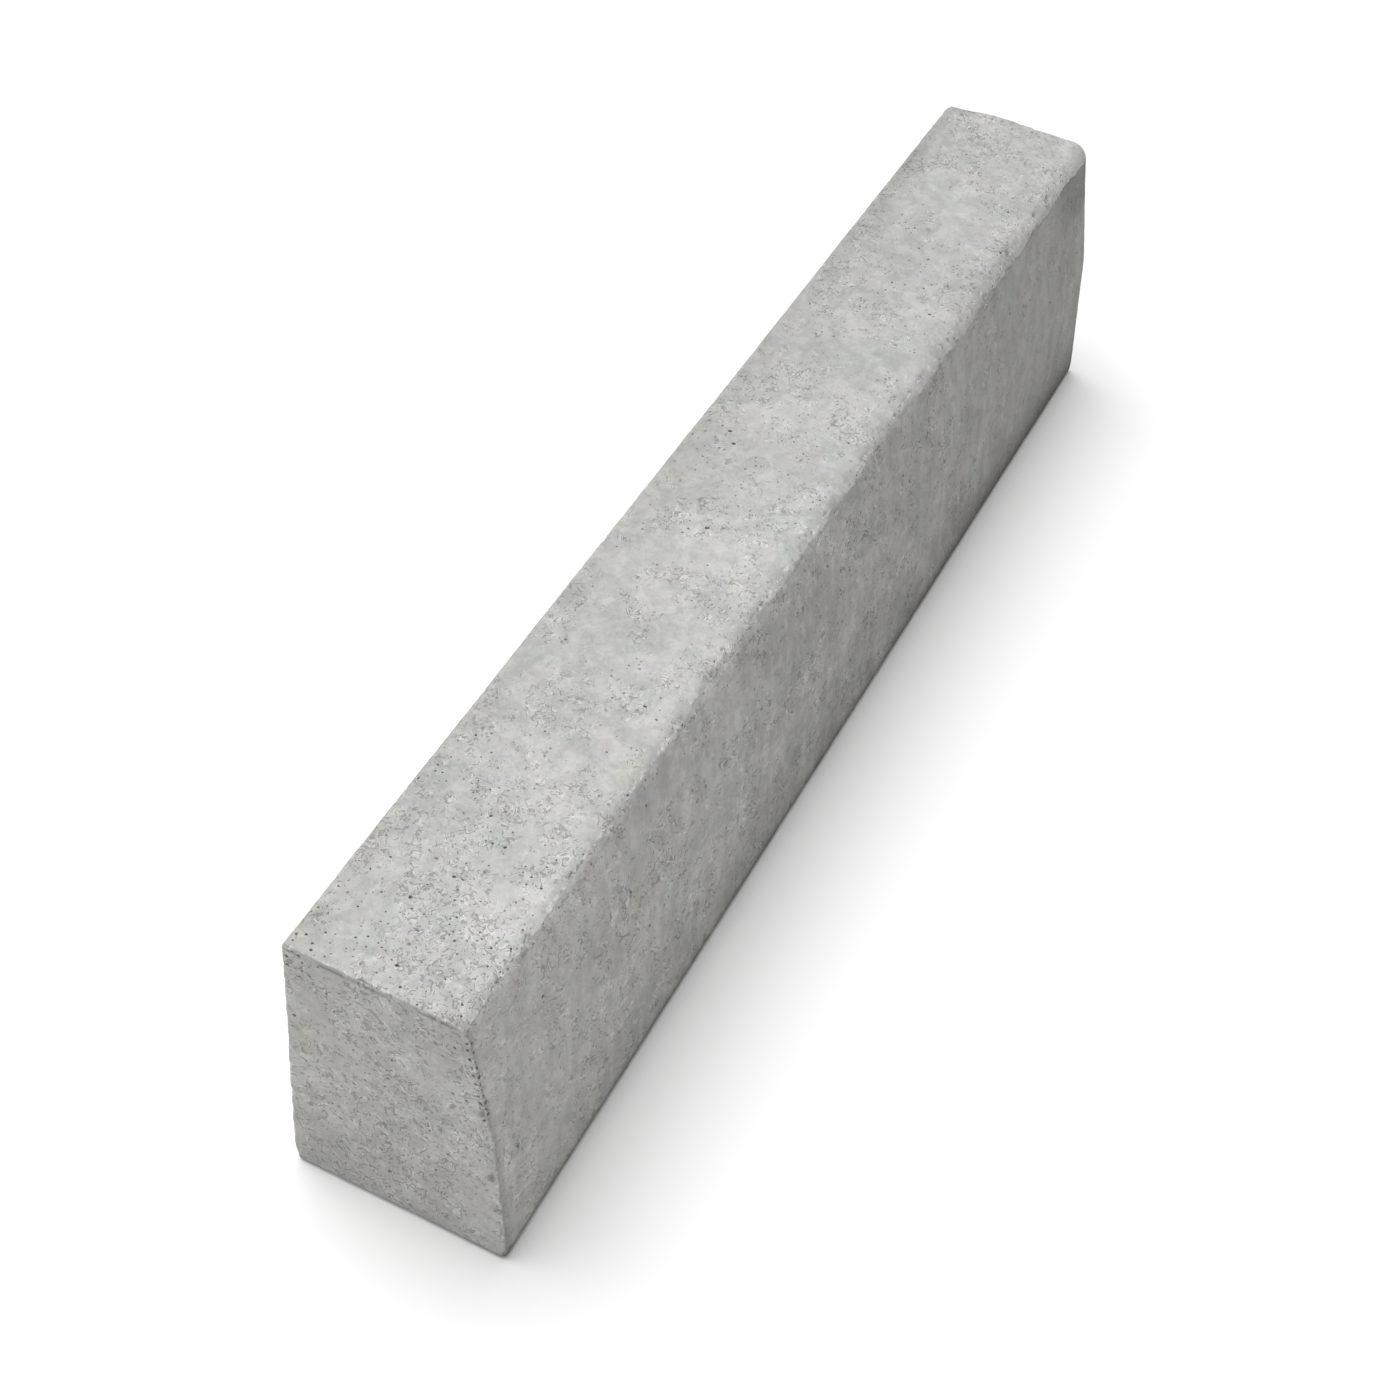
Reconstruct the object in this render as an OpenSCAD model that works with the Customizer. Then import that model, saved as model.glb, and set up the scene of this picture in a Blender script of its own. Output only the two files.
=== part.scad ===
// Straight precast concrete kerb stone, standing on its bedding face as it is laid.
// X runs along the kerb, -Y is the road side, +Y the footway side, +Z up.
// The origin is the middle of the bedding face.

/* [Kerb] */
// Length from end to end
length = 1000; // [300:10:1200]
// Height from the bedding face to the top
height = 220; // [180:5:300]
// Width at the foot
base_width = 150; // [120:5:200]

/* [Road face] */
// Height of the upright toe at the foot of the face
toe_height = 12; // [12:1:30]
// Height of the knee, above which the face leans back more
knee_height = 115; // [60:5:140]
// How far the face leans back between the toe and the knee
lower_batter = 10; // [1:1:15]
// How far the face leans back between the knee and the top
upper_batter = 20; // [5:1:30]

/* [Arrises] */
// Radius of the nosing, between the top and the road face
nosing_radius = 15; // [6:1:25]
// Radius of the arris between the top and the back
back_radius = 5; // [1:0.5:10]
// Radius of the two arrises along the foot
foot_radius = 4; // [1:0.5:8]
// Radius that softens the line of the knee and the line above the toe
knee_radius = 15; // [5:1:20]
// Width of the chamfer on the arrises around both ends, measured along each face
end_chamfer = 3; // [1:0.5:8]

/* [Hidden] */
$fn = 96;

road_y = -base_width / 2;
back_y = base_width / 2;
knee_y = road_y + lower_batter;
top_y = knee_y + upper_batter;
// Longer than the section in every direction, for the blocks that cut the end chamfers
reach = 2 * (base_width + height);

// Corners of the section as [y, z], anticlockwise from the foot of the road face
corners = [
    [road_y, 0],
    [back_y, 0],
    [back_y, height],
    [top_y, height],
    [knee_y, knee_height],
    [road_y, toe_height]
];
// Radius of the round in each corner
radii = [foot_radius, foot_radius, back_radius, nosing_radius, knee_radius, knee_radius];

// A corner by its number, which runs round and round the section.
function corner(i) = corners[(i + len(corners)) % len(corners)];

// Unit vector from point a to point b.
function towards(a, b) = (b - a) / norm(b - a);

// Half the angle that the section makes at a corner.
function half_angle(i) =
    acos(towards(corner(i), corner(i - 1)) * towards(corner(i), corner(i + 1))) / 2;

// The two points where the round in a corner meets the flats beside it.
function round_ends(i) =
    let (run = radii[i] / tan(half_angle(i)))
    [
        corner(i) + towards(corner(i), corner(i - 1)) * run,
        corner(i) + towards(corner(i), corner(i + 1)) * run
    ];

// The centre of the round in a corner.
function round_centre(i) =
    let (inward = towards(corner(i), corner(i - 1)) + towards(corner(i), corner(i + 1)))
    corner(i) + towards([0, 0], inward) * radii[i] / sin(half_angle(i));

// The round in a corner: the part of its disc that lies towards the corner.
module round_at(i) {
    centre = round_centre(i);
    intersection() {
        translate(centre) circle(r = radii[i]);
        polygon([centre, round_ends(i)[0], corner(i), round_ends(i)[1]]);
    }
}

// The kerb's section: its outline with the corners cut, and the rounds that fill them out.
module section() {
    polygon([for (i = [0 : len(corners) - 1]) each round_ends(i)]);
    for (i = [0 : len(corners) - 1])
        round_at(i);
}

// What the chamfers cut off both ends of the flat between corner i and the next one.
module end_chamfers(i) {
    along = corner(i + 1) - corner(i);
    facing = atan2(-along[1], -along[0]);
    for (side = [-1, 1])
        translate([side * length / 2, corner(i)[0], corner(i)[1]])
            rotate([facing, 0, 0])
                rotate([0, side * 45, 0])
                    translate([-reach, -reach, -end_chamfer / sqrt(2)])
                        cube([2 * reach, 2 * reach, reach]);
}

module kerb_stone() {
    color([0.66, 0.66, 0.64])
        difference() {
            rotate([90, 0, 90])
                linear_extrude(height = length, center = true) section();
            for (i = [0 : len(corners) - 1])
                end_chamfers(i);
        }
}

kerb_stone();
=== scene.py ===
"""Looks of a precast concrete kerb stone: one weathered casting that stands for the plain solid.

Sizes are in millimetres until a mesh is made, in the frame's own axes: X runs along the kerb,
-Y is the road side, +Y the footway side and +Z is up, with the origin under the middle.
The near end is the one at -X.
"""

import logging
import math
from dataclasses import dataclass, replace
from enum import Enum

import bpy
import numpy as np
from mathutils import Matrix, Vector, geometry, noise


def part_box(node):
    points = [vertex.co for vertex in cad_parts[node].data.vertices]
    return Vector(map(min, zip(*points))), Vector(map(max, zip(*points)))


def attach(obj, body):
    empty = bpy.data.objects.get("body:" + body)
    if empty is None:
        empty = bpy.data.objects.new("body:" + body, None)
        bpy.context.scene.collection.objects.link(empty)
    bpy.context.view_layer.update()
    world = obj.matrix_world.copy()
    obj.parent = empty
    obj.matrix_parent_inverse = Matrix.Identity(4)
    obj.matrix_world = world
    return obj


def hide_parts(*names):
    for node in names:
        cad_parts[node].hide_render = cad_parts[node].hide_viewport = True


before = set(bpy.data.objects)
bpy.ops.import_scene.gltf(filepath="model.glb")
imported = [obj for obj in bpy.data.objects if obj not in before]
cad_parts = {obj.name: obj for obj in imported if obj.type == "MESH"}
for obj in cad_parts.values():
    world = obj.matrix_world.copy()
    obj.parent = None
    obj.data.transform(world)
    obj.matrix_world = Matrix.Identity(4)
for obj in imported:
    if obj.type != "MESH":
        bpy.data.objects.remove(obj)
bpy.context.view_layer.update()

METRE = 1000.0
NODE = "kerb_stone"
BODY = "root"
WHITE = (1.0, 1.0, 1.0, 1.0)
SQUARE_CENTIMETRE = 100.0

Hole = tuple[float, float, float]
Ring = tuple[float, float, float]
Colour = tuple[float, float, float, float]
Pair = tuple[float, float]
# Where an eased rise or fall begins and ends, then its results there
Ease = tuple[float, float, float, float]
Socket = bpy.types.NodeSocket

log = logging.getLogger("kerb")


class Panel(Enum):
    """The flat panels of the casting, before their arrises are rounded."""

    TOP = "top"
    ROAD = "road"
    BACK = "back"
    BED = "bed"
    NEAR_END = "near_end"
    FAR_END = "far_end"

    @property
    def is_end(self) -> bool:
        """Whether the panel closes an end of the kerb."""
        return self in (Panel.NEAR_END, Panel.FAR_END)


def ease(low: float, high: float, value: np.ndarray) -> np.ndarray:
    """Rise smoothly from 0 to 1 as a value goes from low to high.

    Args:
        low: Value at which the rise starts.
        high: Value at which it is complete.
        value: The values.

    Returns:
        The share of the rise at each value.
    """
    share = np.clip((value - low) / (high - low), 0.0, 1.0)
    return share * share * (3.0 - 2.0 * share)


def round_max(first: np.ndarray, second: np.ndarray, radius: np.ndarray | float) -> np.ndarray:
    """Join two distances into that of their common solid, with its arris rounded.

    Args:
        first: Distance outside one surface, negative inside it.
        second: Distance outside the other.
        radius: Radius of the arris where they meet.

    Returns:
        Distance outside both.
    """
    lead = np.maximum(first + radius, 0.0)
    side = np.maximum(second + radius, 0.0)
    return np.minimum(-radius, np.maximum(first, second)) + np.hypot(lead, side)


def mottle(points: np.ndarray, grain: float, seed: float, octaves: int = 3) -> np.ndarray:
    """Fractal noise at many points.

    Args:
        points: Points, one a row.
        grain: Width of the largest blots.
        seed: Shift that picks the pattern.
        octaves: How many times the detail is halved.

    Returns:
        Values spread about 0, nearly all between -1 and 1.
    """
    shift = Vector((seed, 1.7 * seed, 2.3 * seed))
    return np.array([
        noise.fractal(Vector(point) / grain + shift, 1.0, 2.0, octaves) for point in points
    ])


def put_in_scene(name: str, data: bpy.types.ID) -> bpy.types.Object:
    """Make an object of a mesh, a lamp or a camera, and put it in the scene.

    Args:
        name: The object's name.
        data: What it is made of.

    Returns:
        The object.
    """
    thing = bpy.data.objects.new(name, data)
    bpy.context.scene.collection.objects.link(thing)
    return thing


@dataclass
class Section:
    """The kerb's section and length, and where a point lies against them."""

    length: float
    width: float
    height: float
    toe_height: float = 12.0
    knee_height: float = 115.0
    lower_batter: float = 10.0
    upper_batter: float = 20.0
    knee_softness: float = 2.5
    nosing_radius: float = 14.0
    nosing_wander: float = 0.14
    nosing_wave: float = 170.0
    nosing_phase: float = 0.8
    near_nosing_loss: float = 0.08
    back_radius: float = 5.0
    foot_radius: float = 4.0
    end_radius: float = 2.4
    near_foot_rounding: float = 4.0
    near_foot_reach: tuple[float, float] = (2.0, 18.0)
    far_end_radius: float = 4.0
    far_back_radius: float = 12.0
    far_back_reach: tuple[float, float] = (30.0, 68.0)
    corner_wander: float = 0.30
    corner_waves: tuple[float, float] = (31.0, 43.0)
    settling_rounds: int = 6

    def road_line(self, z: np.ndarray) -> np.ndarray:
        """Find the road face's outline.

        Args:
            z: Heights above the bed.

        Returns:
            The face's Y at each height, with the knee and the toe eased a little.
        """
        past_top = 1.2 * self.height
        steps = [0.0, self.toe_height, self.knee_height, self.height, past_top]
        rate = self.upper_batter / (self.height - self.knee_height)
        full = self.lower_batter + self.upper_batter
        leans = [0.0, 0.0, self.lower_batter, full, full + rate * (past_top - self.height)]
        shifts = (-self.knee_softness, 0.0, self.knee_softness)
        lean = sum(np.interp(z + shift, steps, leans) for shift in shifts) / len(shifts)
        return lean - self.width / 2

    def top_front(self) -> float:
        """The Y of the corner where the top and the road face would meet."""
        return self.lower_batter + self.upper_batter - self.width / 2

    def nosing_at(self, x: np.ndarray) -> np.ndarray:
        """Find the radius of the nosing, which wanders along the kerb and is tighter by the near end.

        Args:
            x: Places along the kerb.

        Returns:
            The radius at each place.
        """
        wave = np.sin(x / self.nosing_wave + self.nosing_phase)
        wander = 1.0 - self.nosing_wander * (1.0 - wave)
        by_near_end = 1.0 - ease(-0.50 * self.length, -0.15 * self.length, x)
        return self.nosing_radius * wander * (1.0 - self.near_nosing_loss * by_near_end)

    def corner_at(self, points: np.ndarray) -> np.ndarray:
        """Find the radius of the arrises around the ends, which differ and are never quite even.

        Args:
            points: Points, one a row.

        Returns:
            The radius that holds at each point.
        """
        x, y, z = points.T
        by_foot = 1.0 - ease(*self.near_foot_reach, z)
        near = self.end_radius + self.near_foot_rounding * by_foot
        towards_back = ease(*self.far_back_reach, y)
        far = self.far_end_radius + (self.far_back_radius - self.far_end_radius) * towards_back
        across, upward = self.corner_waves
        ripple = np.sin(y / across + 2.0) * np.sin(z / upward + 0.5)
        return np.where(x < 0.0, near, far) * (1.0 + self.corner_wander * ripple)

    def outside(self, points: np.ndarray) -> np.ndarray:
        """Find how far points lie outside the rounded kerb.

        Args:
            points: Points, one a row.

        Returns:
            The distance outside, negative for a point inside.
        """
        x, y, z = points.T
        road = self.road_line(z) - y
        shell = round_max(z - self.height, road, self.nosing_at(x))
        shell = round_max(shell, y - self.width / 2, self.back_radius)
        shell = round_max(shell, -z, self.foot_radius)
        return round_max(shell, np.abs(x) - self.length / 2, self.corner_at(points))

    def facing(self, points: np.ndarray) -> np.ndarray:
        """Find which way the kerb's surface faces.

        Args:
            points: Points on or near the surface, one a row.

        Returns:
            A unit vector out of the kerb for each point.
        """
        step = 0.05
        slopes = [
            self.outside(points + step * axis) - self.outside(points - step * axis)
            for axis in np.eye(3)
        ]
        slope = np.stack(slopes, axis=1)
        return slope / np.maximum(np.linalg.norm(slope, axis=1, keepdims=True), 1e-9)

    def settle(self, points: np.ndarray) -> np.ndarray:
        """Move points from the sharp-cornered kerb onto the rounded one.

        Args:
            points: Points on the sharp-cornered kerb, one a row.

        Returns:
            The points on the rounded surface.
        """
        settled = points.copy()
        for _ in range(self.settling_rounds):
            settled -= self.outside(settled)[:, None] * self.facing(settled)
        return settled

    def arris_gap(self, points: np.ndarray) -> np.ndarray:
        """Find how far points on the sharp-cornered kerb lie from its nearest corner line.

        Args:
            points: Points on the sharp-cornered kerb, one a row.

        Returns:
            The distance to the nearest corner line.
        """
        x, y, z = points.T
        gaps = np.stack([
            self.height - z,
            z,
            self.width / 2 - y,
            y - self.road_line(z),
            self.length / 2 - np.abs(x),
        ])
        return np.partition(np.abs(gaps), 1, axis=0)[1]


@dataclass
class PanelSheet:
    """One panel laid out flat, as the rectangle on which its points are set out."""

    panel: Panel
    section: Section

    @property
    def size(self) -> tuple[float, float]:
        """Give the size of the flat rectangle.

        Returns:
            Its length and breadth.
        """
        section = self.section
        top_width = section.width / 2 - section.top_front()
        return {
            Panel.TOP: (section.length, top_width),
            Panel.BED: (section.length, section.width),
            Panel.ROAD: (section.length, section.height),
            Panel.BACK: (section.length, section.height),
            Panel.NEAR_END: (top_width, section.height),
            Panel.FAR_END: (top_width, section.height),
        }[self.panel]

    def place(self, flat: np.ndarray) -> np.ndarray:
        """Lift points of the flat rectangle onto the sharp-cornered kerb.

        Args:
            flat: Points as shares of the rectangle, from 0 to 1 each way, one a row.

        Returns:
            The points in space.
        """
        section = self.section
        along = (flat[:, 0] - 0.5) * section.length
        back = section.width / 2
        up = flat[:, 1] * section.height
        if self.panel is Panel.TOP:
            y = section.top_front() + flat[:, 1] * (back - section.top_front())
            return np.stack([along, y, np.full_like(y, section.height)], axis=1)
        if self.panel is Panel.BED:
            return np.stack([along, (flat[:, 1] - 0.5) * section.width, 0.0 * along], axis=1)
        if self.panel is Panel.BACK:
            return np.stack([along, np.full_like(along, back), up], axis=1)
        front = section.road_line(up)
        if self.panel is Panel.ROAD:
            return np.stack([along, front, up], axis=1)
        side = -0.5 if self.panel is Panel.NEAR_END else 0.5
        y = front + flat[:, 0] * (back - front)
        return np.stack([np.full_like(y, side * section.length), y, up], axis=1)


@dataclass
class Blowholes:
    """The air holes left in the cast faces, each with a few rings of points of its own.

    A hole is its place along and across its panel's flat rectangle, and its radius. How clear it
    keeps of other holes, of the plain points and of its panel's sides is given in radii, and a
    ring is its share of the radius, of the depth and of the pale edge round the hole, which is paler
    paste and painted highlight.
    """

    widest: float = 2.1
    commonest: float = 0.60
    road_commonest: float = 0.78
    spread: float = 0.42
    draws: int = 4
    clear_of_holes: float = 1.7
    clear_of_points: float = 1.9
    clear_of_sides: float = 2.2
    arris_row: int = 11
    arris_radii: tuple[float, float] = (1.1, 1.8)
    arris_inset: float = 1.65
    arris_gap: float = 3.5
    corner_holes: int = 7
    corner_radii: tuple[float, float] = (1.0, 1.6)
    corner_reach: float = 20.0
    lone_radius: float = 1.7
    lone_from_end: float = 90.0
    wide_from: float = 0.9
    narrow_sides: int = 5
    wide_sides: int = 7
    ring_shares: tuple[Ring, ...] = ((0.6, 0.85, 0.0), (1.0, 0.0, 1.0), (1.45, 0.0, 0.0))
    drift_grain: float = 55.0
    knot_grain: float = 16.0

    def stands_clear(self, hole: Hole, others: list[Hole]) -> bool:
        """Tell whether a hole's rings keep clear of those of all the others.

        Args:
            hole: The hole.
            others: The others.

        Returns:
            True if they do.
        """
        along, across, radius = hole
        return all(
            math.hypot(along - other[0], across - other[1]) > self.clear_of_holes * (radius + other[2])
            for other in others
        )

    def share(self, panel: Panel) -> float:
        """Tell how thickly a panel is pitted.

        Args:
            panel: The panel.

        Returns:
            Its holes a square centimetre.
        """
        return {
            Panel.TOP: 0.74,
            Panel.ROAD: 0.36,
            Panel.BACK: 0.24,
            Panel.NEAR_END: 1.10,
            Panel.FAR_END: 0.70,
            Panel.BED: 0.0,
        }[panel]

    def scatter(self, sheet: PanelSheet, rng: np.random.Generator) -> list[Hole]:
        """Choose the holes of one panel.

        Args:
            sheet: The panel.
            rng: Source of the draws.

        Returns:
            The holes.
        """
        length, breadth = sheet.size
        wanted = int(self.share(sheet.panel) * length * breadth / SQUARE_CENTIMETRE)
        if wanted == 0:
            return []
        kept = self.beside_arris(sheet, rng) + self.by_corner(sheet, rng)
        drawn = self.draws * wanted
        common = self.road_commonest if sheet.panel is Panel.ROAD else self.commonest
        radius = np.minimum(common * np.exp(self.spread * rng.normal(size=drawn)), self.widest)
        margin = self.clear_of_sides * radius
        along = margin + rng.uniform(size=drawn) * (length - 2 * margin)
        across = margin + rng.uniform(size=drawn) * (breadth - 2 * margin)
        crowd = self.crowding(sheet, along, across)
        for index in np.flatnonzero(rng.uniform(size=drawn) < crowd):
            hole = (along[index], across[index], radius[index])
            if self.stands_clear(hole, kept):
                kept.append(hole)
            if len(kept) == wanted:
                break
        return kept

    def crowding(self, sheet: PanelSheet, along: np.ndarray, across: np.ndarray) -> np.ndarray:
        """Work out how likely a hole is at each place, since holes gather in clusters.

        Args:
            sheet: The panel.
            along: Places along the flat rectangle.
            across: Places across it.

        Returns:
            The chance that a hole drawn at each place is kept.
        """
        length, breadth = sheet.size
        layer = np.full_like(along, 37.0 * self.share(sheet.panel))
        places = np.stack([along, across, layer], axis=1)
        drifts = mottle(places, self.drift_grain, seed=3.1, octaves=2)
        knots = mottle(places, self.knot_grain, seed=8.3, octaves=2)
        crowd = 0.4 + 0.9 * drifts + 0.7 * knots
        if sheet.panel is Panel.TOP:
            crowd += 0.9 * (1.0 - ease(0.02 * length, 0.22 * length, along))
            crowd += 0.3 * ease(0.8 * length, 0.97 * length, along) - 0.35
        if sheet.panel is Panel.NEAR_END:
            towards_back = ease(0.5 * length, 0.9 * length, along)
            crowd += 0.5 * ease(0.6 * breadth, 0.9 * breadth, across) * towards_back
        return crowd

    def by_corner(self, sheet: PanelSheet, rng: np.random.Generator) -> list[Hole]:
        """Choose the large holes about the near end's back top corner, and the lone one on the top.

        Args:
            sheet: The panel.
            rng: Source of the draws.

        Returns:
            The holes of this panel.
        """
        if sheet.panel not in (Panel.TOP, Panel.NEAR_END):
            return []
        length, breadth = sheet.size
        holes = []
        if sheet.panel is Panel.TOP:
            holes.append((self.lone_from_end, 0.5 * breadth, self.lone_radius))
        while len(holes) < self.corner_holes:
            radius = rng.uniform(*self.corner_radii)
            inward, down = rng.uniform(2.0 * radius, self.corner_reach, size=2)
            along = inward if sheet.panel is Panel.TOP else length - inward
            hole = (along, breadth - down, radius)
            if self.stands_clear(hole, holes):
                holes.append(hole)
        return holes

    def beside_arris(self, sheet: PanelSheet, rng: np.random.Generator) -> list[Hole]:
        """Choose the row of holes down the near end's upright road arris.

        Args:
            sheet: The panel.
            rng: Source of the draws.

        Returns:
            The holes of this panel.
        """
        if sheet.panel not in (Panel.NEAR_END, Panel.ROAD):
            return []
        row = []
        up = 0.95 * sheet.section.height
        for _ in range(self.arris_row):
            radius = rng.uniform(*self.arris_radii)
            up -= self.clear_of_holes * radius
            row.append((self.arris_inset * radius + rng.uniform(0.0, 0.5), up, radius))
            up -= self.clear_of_holes * radius + rng.uniform(0.0, self.arris_gap)
        return row

    def rings(self, hole: Hole, rng: np.random.Generator) -> tuple[np.ndarray, np.ndarray]:
        """Set out the points of one hole.

        Args:
            hole: The hole.
            rng: Source of the draws.

        Returns:
            The points along and across, and for each its depth and its share of the pale edge, which is
            paler paste and painted highlight.
        """
        along, across, radius = hole
        sides = self.narrow_sides if radius < self.wide_from else self.wide_sides
        turn = rng.uniform(0.0, 2.0 * math.pi)
        stretch = rng.uniform(0.72, 1.0)
        depth = radius * rng.uniform(0.9, 1.5)
        spots = [(0.0, 0.0)]
        facts = [(depth, 0.0)]
        for share, sunk, rim_paste_and_highlight in self.ring_shares:
            for side in range(sides):
                angle = 2.0 * math.pi * (side + 0.5 * share) / sides
                reach = share * radius * rng.uniform(0.85, 1.12)
                run = reach * math.cos(angle)
                rise = stretch * reach * math.sin(angle)
                spots.append((
                    run * math.cos(turn) - rise * math.sin(turn),
                    run * math.sin(turn) + rise * math.cos(turn),
                ))
                facts.append((sunk * depth, rim_paste_and_highlight))
        return np.array(spots) + (along, across), np.array(facts)


@dataclass
class Weathering:
    """Waves, worn arrises and chips: how far the cast surface lies inside its true form."""

    wave_depth: float = 0.35
    wave_grain: float = 85.0
    swell_depth: float = 0.25
    swell_grain: float = 22.0
    tooth_depth: float = 0.22
    tooth_grain: float = 6.5
    wear_depth: float = 0.5
    wear_reach: float = 5.0
    wear_grain: float = 9.0
    chips: int = 150
    chip_size: float = 2.1
    chip_spread: float = 0.4
    chip_limits: tuple[float, float] = (1.4, 5.0)
    chip_grain: float = 2.6
    chip_raggedness: float = 0.35
    nosing_chip_from_end: float = 66.0
    nosing_chip: tuple[float, float] = (4.2, 2.2)
    back_chip_below_top: float = 20.0
    back_chip: tuple[float, float] = (3.4, 1.6)
    seed: int = 7

    def chip_list(self, section: Section) -> list[tuple[Vector, float, float]]:
        """Draw the chips along the arrises.

        Args:
            section: The kerb's section.

        Returns:
            The middle, the radius and the depth of each chip.
        """
        rng = np.random.default_rng(self.seed)
        half = section.length / 2
        back = section.width / 2
        road = -section.width / 2
        front = section.top_front()
        top = section.height
        # Both ends of each arris, and how often it is chipped
        arrises = [
            ((-half, front, top), (half, front, top), 0.30),
            ((-half, back, top), (half, back, top), 0.10),
            ((-half, road, 0.0), (half, road, 0.0), 0.10),
            ((-half, back, 0.0), (half, back, 0.0), 0.06),
            ((-half, front, top), (-half, back, top), 0.10),
            ((half, front, top), (half, back, top), 0.07),
            ((-half, road, 0.0), (-half, front, top), 0.06),
            ((-half, back, 0.0), (-half, back, top), 0.03),
            ((half, road, 0.0), (half, front, top), 0.02),
            ((half, back, 0.0), (half, back, top), 0.02),
        ]
        chances = np.array([arris[2] for arris in arrises])
        chosen = rng.choice(len(arrises), size=self.chips, p=chances / chances.sum())
        chips = []
        for index in chosen:
            start = Vector(arrises[index][0])
            end = Vector(arrises[index][1])
            drawn = self.chip_size * math.exp(self.chip_spread * rng.normal())
            size = float(np.clip(drawn, *self.chip_limits))
            depth = size * rng.uniform(0.2, 0.45)
            chips.append((start.lerp(end, rng.uniform(0.0, 1.0)), size, depth))
        under_nosing = Vector((self.nosing_chip_from_end - half, front - 1.0, top - 7.0))
        near_back_arris = Vector((-half, back, top - self.back_chip_below_top))
        chips.append((under_nosing, *self.nosing_chip))
        chips.append((near_back_arris, *self.back_chip))
        return chips

    def depth(
        self, sharp: np.ndarray, settled: np.ndarray, section: Section
    ) -> dict[str, np.ndarray]:
        """Find the depth of the weathering at each point.

        Args:
            sharp: The points on the sharp-cornered kerb.
            settled: The same points on the rounded kerb.
            section: The kerb's section.

        Returns:
            The depth, and shares from 0 to 1 of wear, of chipping and of the small hollows.
        """
        gap = section.arris_gap(sharp)
        wave = np.clip(0.5 + 0.6 * mottle(settled, self.wave_grain, seed=1.3, octaves=2), 0.0, 1.0)
        swell = np.clip(0.5 + 0.6 * mottle(settled, self.swell_grain, seed=5.9), 0.0, 1.0)
        tooth = np.clip(0.45 + 0.6 * mottle(settled, self.tooth_grain, seed=9.2), 0.0, 1.0)
        near_arris = 1.0 - ease(0.0, self.wear_reach, gap)
        rubbing = mottle(settled, self.wear_grain, seed=12.4, octaves=4)
        worn = near_arris * np.clip(0.35 + rubbing, 0.0, 1.3)
        depth = self.wave_depth * wave + self.swell_depth * swell + self.tooth_depth * tooth
        depth += self.wear_depth * worn
        chipped = np.zeros(len(sharp))
        rough = mottle(settled, self.chip_grain, seed=17.0, octaves=2)
        for middle, size, sunk in self.chip_list(section):
            away = np.linalg.norm(sharp - np.array(middle), axis=1) / size
            away = away * (1.0 + self.chip_raggedness * rough)
            bite = np.clip(1.0 - away * away, 0.0, 1.0)
            depth += sunk * bite
            chipped = np.maximum(chipped, bite)
        return {"depth": depth, "wear": near_arris, "chip": chipped, "hollow": tooth}


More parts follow.
